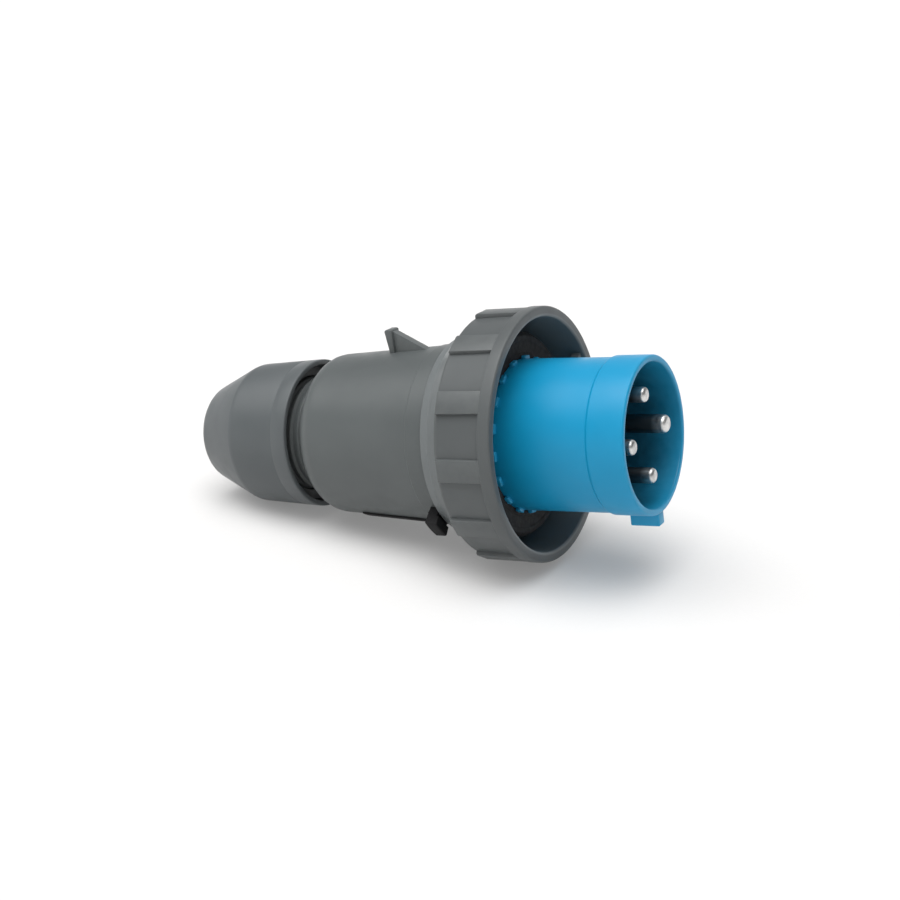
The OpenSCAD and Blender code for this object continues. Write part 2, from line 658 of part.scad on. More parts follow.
plug_sleeve();
contact_carrier();
contact_pin(0);  // pin_l1
contact_pin(EARTH);  // pin_earth
contact_pin(2);  // pin_l2
contact_pin(3);  // pin_l3
terminal_screw(0);  // terminal_screw_l1
terminal_screw(EARTH);  // terminal_screw_earth
terminal_screw(2);  // terminal_screw_l2
terminal_screw(3);  // terminal_screw_l3
pin_retainer();
retainer_screw(PLATE_SCREWS[0]);  // retainer_screw_a
retainer_screw(PLATE_SCREWS[1]);  // retainer_screw_b
flange_gasket();
housing_seal();
locking_ring();
rear_housing();
housing_catch();
gland_seal();
clamp_cage();
gland_washer();
gland_nut();
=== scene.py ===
"""Four-pole industrial pin and sleeve plug with a locking ring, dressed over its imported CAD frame.

Every sub-assembly is built along the plug's own axis, in millimetres: x points towards the pins,
x = 0 is the front rim of the sleeve, y points away from the camera and z up. It is then moved to
where the plug lies at rest. A setback is a distance behind the front rim, and an angle round the
axis is counted in degrees from the top, positive towards the far side.
"""

import json
import logging
import math
from collections.abc import Sequence
from dataclasses import dataclass
from enum import Enum

import bmesh
import bpy
from mathutils import Matrix, Vector

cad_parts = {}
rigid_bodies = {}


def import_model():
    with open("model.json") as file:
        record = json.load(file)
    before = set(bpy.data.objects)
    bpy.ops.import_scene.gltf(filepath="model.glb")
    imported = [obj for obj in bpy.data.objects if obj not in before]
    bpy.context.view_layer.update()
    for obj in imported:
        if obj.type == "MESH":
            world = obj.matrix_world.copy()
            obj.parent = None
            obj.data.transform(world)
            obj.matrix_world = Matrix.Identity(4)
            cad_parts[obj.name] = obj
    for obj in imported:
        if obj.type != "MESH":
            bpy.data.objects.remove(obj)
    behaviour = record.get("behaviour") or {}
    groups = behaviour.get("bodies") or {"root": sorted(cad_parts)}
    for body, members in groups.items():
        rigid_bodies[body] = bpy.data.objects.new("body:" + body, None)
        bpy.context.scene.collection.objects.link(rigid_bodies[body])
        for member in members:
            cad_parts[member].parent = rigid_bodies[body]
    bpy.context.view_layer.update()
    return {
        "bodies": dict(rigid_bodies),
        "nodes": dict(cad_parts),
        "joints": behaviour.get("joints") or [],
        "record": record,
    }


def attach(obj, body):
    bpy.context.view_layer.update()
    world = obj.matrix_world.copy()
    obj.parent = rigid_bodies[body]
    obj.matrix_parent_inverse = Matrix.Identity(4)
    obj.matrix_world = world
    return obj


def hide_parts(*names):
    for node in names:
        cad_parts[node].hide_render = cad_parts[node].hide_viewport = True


log = logging.getLogger("plug")

MM = 0.001
# Edges that turn by more than this stay sharp
SHARP_DEG = 32.0
# Setback of the point that the locking ring turns about
PIVOT_SETBACK = 61.5
# Vertices closer than this are merged: in shapes, in millimetres, and in CAD copies, in metres
WELD_MM = 1e-4
WELD_CAD_M = 1e-6
# Sockets of the Mix node that blends two colours, which share their names with its other sockets
MIX_FACTOR, MIX_FIRST, MIX_SECOND, MIX_RESULT = 0, 6, 7, 2

Pair = tuple[float, float]
Triple = tuple[float, float, float]
Corner = Triple
Colour = Triple
Limits = tuple[float, float, float, float]
Solid = bmesh.types.BMesh
Node = bpy.types.Node
Output = bpy.types.NodeSocket
Inputs = dict[str | int, object]


class Body(Enum):
    """Bodies of the frame that the pieces ride on."""

    PLUG = "plug"
    RING = "ring"
    WASHER = "washer"
    NUT = "nut"


class Round(Enum):
    """Steps round a turned piece."""

    SMALL = 48
    LARGE = 192


class Rule(Enum):
    """Ways to make one value of two."""

    SUM = "ADD"
    PRODUCT = "MULTIPLY"
    LARGER = "MAXIMUM"


@dataclass(frozen=True)
class Placement:
    """Place of the plug's axis in the frame."""

    rim: Vector
    axis: Vector

    @classmethod
    def from_ring_joint(cls, joint: dict, pivot_setback: float) -> "Placement":
        """Read the axis from the joint that turns the locking ring.

        Args:
            joint: The joint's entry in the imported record.
            pivot_setback: Setback of the joint's point, in millimetres.

        Returns:
            The placement, whose rim is the middle of the sleeve's front rim.
        """
        axis = Vector(joint["axis"]).normalized()
        return cls(Vector(joint["pos_m"]) + axis * pivot_setback * MM, axis)

    def turn(self) -> Matrix:
        """Rotation from the plug's own directions to the frame's."""
        far = Vector((0.0, 1.0, 0.0))
        return Matrix((self.axis, far, self.axis.cross(far))).transposed()

    def matrix(self) -> Matrix:
        """Matrix from the plug's own millimetres to the frame's metres."""
        return Matrix.Translation(self.rim) @ self.turn().to_4x4() @ Matrix.Scale(MM, 4)


@dataclass(frozen=True)
class Band:
    """Groove or bead round a piece: setbacks of its sides, its radius and its rounding."""

    front: float
    rear: float
    radius: float
    rounding: float = 0.0

    def corners(self, base: float) -> list[Corner]:
        """Corners of its outline, from front to rear, in a surface of the base radius."""
        return [(-self.front, base, 0.0), (-self.front, self.radius, self.rounding),
                (-self.rear, self.radius, self.rounding), (-self.rear, base, 0.0)]


def rounded_outline(corners: Sequence[Corner], segments: int = 4) -> Solid:
    """Make a flat outline in the plane of the axis, with its corners rounded.

    Args:
        corners: Station along the axis, height above it and rounding of each corner.
        segments: Faces across a rounded corner.

    Returns:
        A mesh that holds the outline as one face.
    """
    shape = bmesh.new()
    points = [shape.verts.new((x, 0.0, z)) for x, z, _ in corners]
    shape.faces.new(points)
    places = [Vector((x, 0.0, z)) for x, z, _ in corners]
    for i, (_, _, rounding) in enumerate(corners):
        if rounding <= 0.0:
            continue
        back = places[i - 1] - places[i]
        ahead = places[(i + 1) % len(places)] - places[i]
        reach = rounding / math.tan(back.angle(ahead) / 2)
        bmesh.ops.bevel(shape, geom=[points[i]], offset=reach, offset_type="OFFSET",
                        segments=segments, profile=0.5, affect="VERTICES", material=-1,
                        clamp_overlap=False)
    return shape


def swept(shape: Solid, angle: float, steps: int, advance: float = 0.0,
          closed: bool = False) -> Solid:
    """Spin an outline round the plug's axis and close what it leaves open.

    Args:
        shape: The outline, changed in place.
        angle: Angle of the spin, in radians.
        steps: Steps along the spin.
        advance: Way along the axis that each step adds.
        closed: Whether the spin is a full turn that meets its own start.

    Returns:
        The closed solid.
    """
    bmesh.ops.spin(shape, geom=shape.verts[:] + shape.edges[:], cent=(0, 0, 0), axis=(1, 0, 0),
                   dvec=(advance, 0, 0), angle=angle, steps=steps, use_merge=closed,
                   use_duplicate=False)
    bmesh.ops.remove_doubles(shape, verts=shape.verts, dist=WELD_MM)
    if not closed:
        ends = [e for e in shape.edges if e.is_boundary]
        bmesh.ops.holes_fill(shape, edges=ends, sides=0)
    bmesh.ops.recalc_face_normals(shape, faces=shape.faces)
    return shape


def turned(corners: Sequence[Corner], steps: Round = Round.LARGE, segments: int = 4) -> Solid:
    """Turn an outline that stands clear of the plug's axis all the way round it.

    Args:
        corners: Station along the axis, radius and rounding of each corner.
        steps: Steps round the axis.
        segments: Faces across a rounded corner.

    Returns:
        The closed solid.
    """
    shape = rounded_outline(corners, segments)
    shape.faces.remove(next(iter(shape.faces)))
    return swept(shape, math.tau, steps.value, closed=True)


def arc_block(corners: Sequence[Corner], middle: float, sweep: float, steps: int) -> Solid:
    """Turn an outline part of the way round the plug's axis.

    Args:
        corners: Station along the axis, radius and rounding of each corner.
        middle: Angle of the block's middle.
        sweep: Angle that the block covers.
        steps: Steps along the sweep.

    Returns:
        The closed solid.
    """
    shape = rounded_outline(corners)
    shape.transform(Matrix.Rotation(math.radians(-(middle - sweep / 2)), 4, "X"))
    return swept(shape, math.radians(-sweep), steps)


def soften_edges(shape: Solid, width: float, segments: int = 2, above: float = 40.0) -> None:
    """Bevel the sharp edges of a solid.

    Args:
        shape: The solid, changed in place.
        width: Width of the bevel.
        segments: Faces across the bevel.
        above: Edges that turn by more than this angle, in degrees, are bevelled.
    """
    limit = math.radians(above)
    sharp = [e for e in shape.edges if len(e.link_faces) == 2 and e.calc_face_angle() > limit]
    bmesh.ops.bevel(shape, geom=sharp, offset=width, offset_type="OFFSET", segments=segments,
                    profile=0.5, affect="EDGES", material=-1, clamp_overlap=True)


def prism(corners: Sequence[Corner], width: float, edge: float) -> Solid:
    """Extrude an outline to both sides of the plane of the axis.

    Args:
        corners: Station along the axis, height above it and rounding of each corner.
        width: Width of the prism.
        edge: Width of the bevel on its edges.

    Returns:
        The closed solid.
    """
    shape = rounded_outline(corners)
    made = bmesh.ops.extrude_face_region(shape, geom=shape.faces[:], use_keep_orig=True)["geom"]
    moved = [g for g in made if isinstance(g, bmesh.types.BMVert)]
    bmesh.ops.translate(shape, verts=moved, vec=(0, width, 0))
    bmesh.ops.translate(shape, verts=shape.verts, vec=(0, -width / 2, 0))
    bmesh.ops.recalc_face_normals(shape, faces=shape.faces)
    soften_edges(shape, edge)
    return shape


def block(low: Vector, high: Vector, edge: float) -> Solid:
    """Make a block between two corners, with softened edges.

    Args:
        low: Lowest corner.
        high: Highest corner.
        edge: Width of the bevel on its edges.

    Returns:
        The closed solid.
    """
    shape = bmesh.new()
    bmesh.ops.create_cube(shape, size=1.0)
    bmesh.ops.scale(shape, vec=high - low, verts=shape.verts)
    bmesh.ops.translate(shape, vec=(low + high) / 2, verts=shape.verts)
    soften_edges(shape, edge, segments=3)
    return shape


def round_axis(shape: Solid, angle: float) -> Solid:
    """Turn a shape that stands above the axis round to an angle from the top."""
    shape.transform(Matrix.Rotation(math.radians(-angle), 4, "X"))
    return shape


def join(parts: Sequence[Solid]) -> Solid:
    """Put several solids into one mesh.

    Args:
        parts: The solids, which are freed.

    Returns:
        The mesh that holds them all.
    """
    whole = bmesh.new()
    for part in parts:
        scratch = bpy.data.meshes.new("scratch")
        part.to_mesh(scratch)
        part.free()
        whole.from_mesh(scratch)
        bpy.data.meshes.remove(scratch)
    return whole


def shade_smooth(mesh: bpy.types.Mesh) -> None:
    """Shade a mesh smoothly, with its sharp edges kept."""
    mesh.shade_smooth()
    mesh.set_sharp_from_angle(angle=math.radians(SHARP_DEG))


class Nodes:
    """Adds and joins the nodes of one tree."""

    def __init__(self, tree: bpy.types.NodeTree) -> None:
        """Take the tree that the nodes go into."""
        self.tree = tree

    def fill(self, node: Node, inputs: Inputs) -> Node:
        """Link or set inputs of a node.

        Args:
            node: The node.
            inputs: Outputs to link or values to set, by the input's name or number.

        Returns:
            The same node.
        """
        for key, value in inputs.items():
            if isinstance(value, Output):
                self.tree.links.new(value, node.inputs[key])
            else:
                node.inputs[key].default_value = value
        return node

    def add(self, kind: str, inputs: Inputs, **values: object) -> Node:
        """Add a node.

        Args:
            kind: Type name of the node.
            inputs: Outputs to link or values to set, by the input's name or number.
            **values: Its properties by name.

        Returns:
            The node.
        """
        node = self.tree.nodes.new(kind)
        for key, value in values.items():
            setattr(node, key, value)
        return self.fill(node, inputs)

    def spread(self, source: Output, low: float, high: float, start: float = 0.3,
               end: float = 0.7, smooth: bool = False) -> Output:
        """Map a value to another range.

        Args:
            source: The value.
            low: Result at start.
            high: Result at end.
            start: Value that gives low. The middle of a noise lies between 0.3 and 0.7.
            end: Value that gives high.
            smooth: Whether the way between both eases in and out.

        Returns:
            The mapped value.
        """
        inputs = {"Value": source, "From Min": start, "From Max": end, "To Min": low,
                  "To Max": high}
        way = "SMOOTHSTEP" if smooth else "LINEAR"
        return self.add("ShaderNodeMapRange", inputs, interpolation_type=way).outputs["Result"]

    def pair(self, rule: Rule, first: Output, second: Output) -> Output:
        """Make one value of two."""
        node = self.add("ShaderNodeMath", {0: first, 1: second}, operation=rule.value)
        return node.outputs["Value"]


class Surface(Nodes):
    """Nodes of one material, with coordinates in metres whose x runs along the plug's axis."""

    def __init__(self, name: str, place: Placement) -> None:
        """Start a material with a Principled shader.

        Args:
            name: Name of the material.
            place: Placement of the plug, which the patterns follow.
        """
        self.material = bpy.data.materials.new(name)
        self.material.use_nodes = True
        super().__init__(self.material.node_tree)
        self.tree.nodes.clear()
        self.shader = self.add("ShaderNodeBsdfPrincipled", {})
        self.add("ShaderNodeOutputMaterial", {"Surface": self.shader.outputs["BSDF"]})
        source = self.add("ShaderNodeTexCoord", {}).outputs["Object"]
        inputs = {"Vector": source, "Location": place.rim, "Rotation": place.turn().to_euler()}
        mapping = self.add("ShaderNodeMapping", inputs, vector_type="TEXTURE")
        self.where = mapping.outputs["Vector"]

    def split(self) -> Node:
        """Part the coordinates into x along the axis, and y and z across it."""
        return self.add("ShaderNodeSeparateXYZ", {"Vector": self.where})

    def noise(self, size_mm: float, detail: float) -> Output:
        """Add noise with features of a size, and with octaves of finer noise."""
        inputs = {"Vector": self.where, "Scale": 1.0 / (size_mm * MM), "Detail": detail}
        return self.add("ShaderNodeTexNoise", inputs).outputs["Fac"]

    def mix(self, factor: Output, first: Colour | Output, second: Colour) -> Output:
        """Blend two colours by a value.

        Args:
            factor: The value.
            first: Colour at 0.
            second: Colour at 1.

        Returns:
            The blended colour.
        """
        start = (*first, 1.0) if isinstance(first, tuple) else first
        inputs = {MIX_FACTOR: factor, MIX_FIRST: start, MIX_SECOND: (*second, 1.0)}
        return self.add("ShaderNodeMix", inputs, data_type="RGBA").outputs[MIX_RESULT]

    def relief(self, height: Output, strength: float, depth_mm: float) -> Output:
        """Make the normal of a fine relief from a noise that gives its height."""
        inputs = {"Height": height, "Strength": strength, "Distance": depth_mm * MM}
        return self.add("ShaderNodeBump", inputs).outputs["Normal"]


@dataclass(frozen=True)
class MouldedPlastic:
    """Moulded plastic with a fine eroded texture, faint flow marks and paler, rubbed edges.

    A moulding that is open at the front may have shading painted inside its bore: a factor below 1
    darkens it as painted shade where little light gets in, one above 1 pales it as painted light.
    """

    name: str
    colour: Colour
    rubbed: Colour
    roughness: float = 0.38
    specular: float = 0.3
    grain_mm: float = 0.35
    relief: float = 0.12
    relief_mm: float = 0.05
    flow_mm: float = 22.0
    variation: float = 0.06
    rub_mm: float = 3.0
    rub_least: float = 0.35
    rub_share: float = 0.55
    rub_edge: Pair = (0.515, 0.58)
    sheen_mm: float = 6.0
    sheen: Pair = (-0.05, 0.06)
    bore_mm: float = 0.0
    bore_soft_mm: float = 0.5
    bore_painted_shading: float = 1.0
    bore_fade_mm: Pair = (-13.0, 5.0)

    def build(self, place: Placement) -> bpy.types.Material:
        """Make the material.

        Args:
            place: Placement of the plug, which its patterns follow.

        Returns:
            The material.
        """
        nodes = Surface(self.name, place)
        darker = tuple(c * (1.0 - self.variation) for c in self.colour)
        lighter = tuple(min(1.0, c * (1.0 + self.variation)) for c in self.colour)
        flow = nodes.spread(nodes.noise(self.flow_mm, detail=4.0), 0.0, 1.0)
        tint = nodes.mix(flow, darker, lighter)
        # Shade is painted inside the bore, or light where the finish's factor is above 1
        if self.bore_mm > 0.0:
            tint = self._paint_bore_shading(nodes, tint)
        # Edges that are gripped and knocked are rubbed paler, in patches
        form = nodes.add("ShaderNodeNewGeometry", {}).outputs["Pointiness"]
        edge = nodes.spread(form, 0.0, self.rub_share, *self.rub_edge)
        patches = nodes.spread(nodes.noise(self.rub_mm, detail=5.0), self.rub_least, 1.0)
        worn = nodes.pair(Rule.PRODUCT, edge, patches)
        nodes.fill(nodes.shader, {
            "Base Color": nodes.mix(worn, tint, self.rubbed),
            "Specular IOR Level": self.specular,
            "Roughness": nodes.spread(nodes.noise(self.sheen_mm, detail=6.0),
                                      *(self.roughness + s for s in self.sheen)),
            "Normal": nodes.relief(nodes.noise(self.grain_mm, detail=3.0), self.relief,
                                   self.relief_mm)})
        return nodes.material

    def _paint_bore_shading(self, nodes: Surface, tint: Output) -> Output:
        """Paint shading into the colour inside the bore, away from its mouth: a factor under 1
        paints shade, one over 1 paints light.

        Args:
            nodes: Nodes of the material.
            tint: Colour that the painted shading changes.

        Returns:
            The colour with the painted shading.
        """
        at = nodes.split().outputs
        across = nodes.add("ShaderNodeCombineXYZ", {"Y": at["Y"], "Z": at["Z"]})
        radius = nodes.add("ShaderNodeVectorMath", {0: across.outputs["Vector"]},
                           operation="LENGTH")
        within = nodes.spread(radius.outputs["Value"], 1.0, 0.0, self.bore_mm * MM,
                              (self.bore_mm + self.bore_soft_mm) * MM)
        depth = nodes.spread(at["X"], 1.0, 0.0, *(x * MM for x in self.bore_fade_mm))
        inside = nodes.pair(Rule.PRODUCT, within, depth)
        return nodes.mix(inside, tint, tuple(c * self.bore_painted_shading for c in self.colour))


@dataclass(frozen=True)
class Rubber:
    """Matt rubber with a dusty bloom."""

    name: str
    colour: Colour
    bloom: Colour
    roughness: float = 0.78
    specular: float = 0.3
    bloom_mm: float = 2.5
    bloom_range: Pair = (0.42, 0.72)
    sheen_mm: float = 1.2
    sheen: Pair = (-0.1, 0.1)
    grain_mm: float = 0.25
    relief: float = 0.12
    relief_mm: float = 0.03

    def build(self, place: Placement) -> bpy.types.Material:
        """Make the material.

        Args:
            place: Placement of the plug, which its patterns follow.

        Returns:
            The material.
        """
        nodes = Surface(self.name, place)
        dust = nodes.spread(nodes.noise(self.bloom_mm, detail=8.0), 0.0, 1.0, *self.bloom_range)
        nodes.fill(nodes.shader, {
            "Base Color": nodes.mix(dust, self.colour, self.bloom),
            "Specular IOR Level": self.specular,
            "Roughness": nodes.spread(nodes.noise(self.sheen_mm, detail=4.0),
                                      *(self.roughness + s for s in self.sheen)),
            "Normal": nodes.relief(nodes.noise(self.grain_mm, detail=3.0), self.relief,
                                   self.relief_mm)})
        return nodes.material


@dataclass(frozen=True)
class TurnedMetal:
    """Plated metal with fine lines from the lathe, tarnished slightly in patches.

    Contacts have shade painted on the shank behind their bright tips, where it lies in shadow.
    """

    name: str
    colour: Colour
    # Colour of the stains, which is also the colour of the painted shade on contact shanks
    tarnish_and_shade: Colour
    roughness: float
    sheen: Pair = (-0.03, 0.04)
    stain_mm: float = 4.0
    stain_range: Pair = (0.45, 0.8)
    line_mm: float = 0.12
    relief: float = 0.03
    relief_mm: float = 0.01
    painted_shade_behind_mm: float = 0.0
    painted_shade_fade_mm: float = 3.0

    def build(self, place: Placement) -> bpy.types.Material:
        """Make the material.

        Args:
            place: Placement of the plug, which its patterns follow.

        Returns:
            The material.
        """
        nodes = Surface(self.name, place)
        along = nodes.split().outputs["X"]
        stain_and_shade = nodes.spread(nodes.noise(self.stain_mm, detail=6.0), 0.0, 1.0,
                             *self.stain_range)
        # Shade is painted on a contact's shank behind its tip, where it lies in shadow; it shares
        # the stains' dark colour
        if self.painted_shade_behind_mm > 0.0:
            bright = -self.painted_shade_behind_mm * MM
            behind = nodes.spread(along, 1.0, 0.0, bright - self.painted_shade_fade_mm * MM, bright)
            stain_and_shade = nodes.pair(Rule.LARGER, stain_and_shade, behind)
        inputs = {"W": along, "Scale": 1.0 / (self.line_mm * MM)}
        lines = nodes.add("ShaderNodeTexNoise", inputs, noise_dimensions="1D").outputs["Fac"]
        nodes.fill(nodes.shader, {
            "Base Color": nodes.mix(stain_and_shade, self.colour, self.tarnish_and_shade),
            "Metallic": 1.0,
            "Roughness": nodes.spread(lines, *(self.roughness + s for s in self.sheen)),
            "Normal": nodes.relief(lines, self.relief, self.relief_mm)})
        return nodes.material


@dataclass(frozen=True)
class StudioPaper:
    """Seamless white paper on a light table, so that shadows on it stay pale."""

    name: str = "studio_paper"
    colour: Colour = (0.594, 0.588, 0.583)
    roughness: float = 0.9
    specular: float = 0.1
    glow: float = 0.175
    fibre_mm: float = 1.5
    fibre_shade: float = 0.985

    def build(self, place: Placement) -> bpy.types.Material:
        """Make the material.

        Args:
            place: Placement of the plug, which its patterns follow.

        Returns:
            The material.
        """
        nodes = Surface(self.name, place)
        fibres = nodes.spread(nodes.noise(self.fibre_mm, detail=6.0), 0.0, 1.0)
        shade = tuple(c * self.fibre_shade for c in self.colour)
        nodes.fill(nodes.shader, {
            "Base Color": nodes.mix(fibres, self.colour, shade),
            "Roughness": self.roughness,
            "Specular IOR Level": self.specular,
            "Emission Color": (1.0, 1.0, 1.0, 1.0),
            "Emission Strength": self.glow})
        return nodes.material


class Finish(Enum):
    """Finishes of the pieces, seen or hidden."""

    # The sleeve's bore is darkened to a fifth deep inside: painted shade where little light gets in
    SLEEVE_BLUE = MouldedPlastic(
        "sleeve_blue", (0.004, 0.255, 0.470), (0.06, 0.36, 0.58), roughness=0.36, specular=0.28,
        grain_mm=0.3, relief=0.06, variation=0.03, bore_mm=23.0, bore_painted_shading=0.2)
    # The carrier's blue is darker than the sleeve's: painted shade for its place deep inside the
    # sleeve
    CARRIER_BLUE_PAINTED_SHADE = MouldedPlastic(
        "carrier_blue", (0.003, 0.140, 0.230), (0.03, 0.20, 0.32), roughness=0.5, specular=0.2,
        grain_mm=0.3, relief=0.06, variation=0.04)
    HOUSING_GREY = MouldedPlastic("housing_grey", (0.088, 0.098, 0.099), (0.13, 0.14, 0.14))
    # The ring's inner wall is made 1.6 times paler: painted light on a wall that lies in shade
    RING_GREY = MouldedPlastic(
        "ring_grey", (0.082, 0.090, 0.092), (0.13, 0.14, 0.14), bore_mm=38.3, bore_painted_shading=1.6)
    NUT_GREY = MouldedPlastic("nut_grey", (0.088, 0.098, 0.102), (0.13, 0.14, 0.14))
    CAGE_GREY = MouldedPlastic(
        "cage_grey", (0.065, 0.072, 0.074), (0.10, 0.11, 0.11), roughness=0.5)
    CATCH_BLACK = MouldedPlastic(
        "catch_black", (0.009, 0.009, 0.010), (0.025, 0.025, 0.025), roughness=0.55,
        specular=0.12)
    SEAL_RUBBER = Rubber("seal_rubber", (0.016, 0.016, 0.017), (0.028, 0.028, 0.028))
    # The contacts get painted shade on their shanks from 2.6 mm behind the tip
    CONTACT_NICKEL = TurnedMetal(
        "contact_nickel", (0.67, 0.67, 0.66), (0.15, 0.16, 0.17), roughness=0.33,
        painted_shade_behind_mm=2.6)
    SCREW_ZINC = TurnedMetal(
        "screw_zinc", (0.66, 0.67, 0.68), (0.42, 0.42, 0.40), roughness=0.32)


@dataclass(frozen=True)
class Label:
    """What a piece is called, the CAD node that it stands for, its finish and its body."""

    name: str
    node: str
    finish: Finish
    body: Body = Body.PLUG


class Workshop:
    """Turns shaped meshes into finished pieces that ride on the frame's bodies."""

    def __init__(self, frame: dict, place: Placement) -> None:
        """Prepare the finishes.

        Args:
            frame: The loaded frame.
            place: Placement of the plug.
        """
        self.cad = frame["nodes"]
        self.slots = {p["node"]: p["material_slot"] for p in frame["record"]["subparts"]}
        self.place = place
        self.materials = {finish: finish.value.build(place) for finish in Finish}

    def _show(self, label: Label, mesh: bpy.types.Mesh) -> bpy.types.Object:
        """Dress a mesh and let it stand for its CAD node.

        Args:
            label: Label of the piece.
            mesh: Its mesh, in place.

        Returns:
            The piece.
        """
        mesh.materials.clear()
        mesh.materials.append(self.materials[label.finish])
        shade_smooth(mesh)
        piece = bpy.data.objects.new(label.name, mesh)
        bpy.context.scene.collection.objects.link(piece)
        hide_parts(label.node)
        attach(piece, label.body.value)
        log.info("%s stands for %s: %d faces", label.name, label.node, len(mesh.polygons))
        return piece

    def finish(self, label: Label, shape: Solid) -> None:
        """Make a finished piece from a shape in the plug's own millimetres.

        Args:
            label: Label of the piece.
            shape: The shape, which is freed.
        """
        shape.transform(self.place.matrix())
        mesh = bpy.data.meshes.new(label.name)
        shape.to_mesh(mesh)
        shape.free()
        self._show(label, mesh)

    def merged(self, label: Label) -> bpy.types.Object:
        """Make a finished piece from a smooth, merged copy of its CAD node.

        Args:
            label: Label of the piece.

        Returns:
            The piece.
        """
        mesh = self.cad[label.node].data.copy()
        mesh.name = label.name
        shape = bmesh.new()
        shape.from_mesh(mesh)
        bmesh.ops.remove_doubles(shape, verts=shape.verts, dist=WELD_CAD_M)
        bmesh.ops.recalc_face_normals(shape, faces=shape.faces)
        shape.to_mesh(mesh)
        shape.free()
        if "custom_normal" in mesh.attributes:
            mesh.attributes.remove(mesh.attributes["custom_normal"])
        return self._show(label, mesh)


@dataclass
class PlugSleeve:
    """Blue sleeve with its front band, key, gasket ribs, flange and spigot."""

    diameter: float = 50.0
    band: float = 12.0
    band_step: float = 0.6
    band_end: float = 0.2
    wall: float = 2.2
    rim_round: float = 0.7
    key_width: float = 4.2
    key_height: float = 4.2
    key_length: float = 10.5
    key_edge: float = 0.45
    key_foot: float = 0.35
    key_foot_width: float = 5.2
    key_foot_edge: float = 0.3
    key_sink: float = 0.8
    gasket_front: float = 44.5
    gasket_rear: float = 48.0
    gasket_radius: float = 33.0
    flange_front: float = 52.0
    flange_rear: float = 55.7
    flange_radius: float = 34.5
    spigot_radius: float = 26.4
    spigot_rear: float = 67.7
    seal_groove: Band = Band(58.82, 61.58, 24.0)
    core_bore: float = 23.6
    core_front: float = 49.2
    nubs: int = 18
    nub_height: float = 1.1
    nub_width: float = 3.2
    nub_length: float = 1.7
    nub_edge: float = 0.35

    @property
    def radius(self) -> float:
        """Outer radius of the sleeve behind its band."""
        return self.diameter / 2 - self.band_step

    @property
    def bore(self) -> float:
        """Radius inside the sleeve."""
        return self.diameter / 2 - self.wall

    def shell(self) -> Solid:
        """Turn the sleeve, its flange and its spigot in one.

        Returns:
            The closed solid.
        """
        outer = self.diameter / 2
        return turned([
            (0.0, self.bore, self.rim_round), (0.0, outer, self.rim_round),
            (-self.band + self.band_end, outer, 0.3),
            (-self.band - self.band_step, self.radius, 0.5),
            (-self.gasket_rear, self.radius, 0.0), (-self.gasket_rear, self.gasket_radius, 0.3),
            (-self.flange_front, self.gasket_radius, 0.5),
            (-self.flange_front, self.flange_radius, 0.7),
            (-self.flange_rear, self.flange_radius, 0.7),
            (-self.flange_rear, self.spigot_radius, 0.0),
            *self.seal_groove.corners(self.spigot_radius),
            (-self.spigot_rear, self.spigot_radius, 0.7),
            (-self.spigot_rear, self.core_bore, 0.0), (-self.core_front, self.core_bore, 0.0),
            (-self.core_front, self.bore, 0.0)])

    def key(self) -> Solid:
        """Make the key under the sleeve, with a wider foot on the band.

        Returns:
            The key and its foot in one mesh.
        """
        outer, edge = self.diameter / 2, self.key_foot_edge
        top = -outer + self.wall * self.key_sink
        bar = block(Vector((-self.key_length, -self.key_width / 2, -outer - self.key_height)),
                    Vector((-self.rim_round, self.key_width / 2, top)), self.key_edge)
        foot = block(
            Vector((-self.key_length - edge, -self.key_foot_width / 2, -outer - self.key_foot)),
            Vector((-self.rim_round - edge, self.key_foot_width / 2, top)), edge)
        return join([bar, foot])

    def nub(self, place: float) -> Solid:
        """Make one of the small ribs that hold the gasket.

        Args:
            place: Its place in the row round the axis.

        Returns:
            The closed solid.
        """
        rear, half = -self.gasket_front, self.nub_width / 2
        shape = block(Vector((rear, -half, self.radius - self.wall / 2)),
                      Vector((rear + self.nub_length, half, self.radius + self.nub_height)),
                      self.nub_edge)
        return round_axis(shape, place * 360 / self.nubs)

    def build(self, shop: Workshop) -> None:
        """Shape and dress the sleeve."""
        parts = [self.shell(), self.key(), *(self.nub(i + 0.5) for i in range(self.nubs))]
        shop.finish(Label("sleeve", "plug_sleeve", Finish.SLEEVE_BLUE), join(parts))


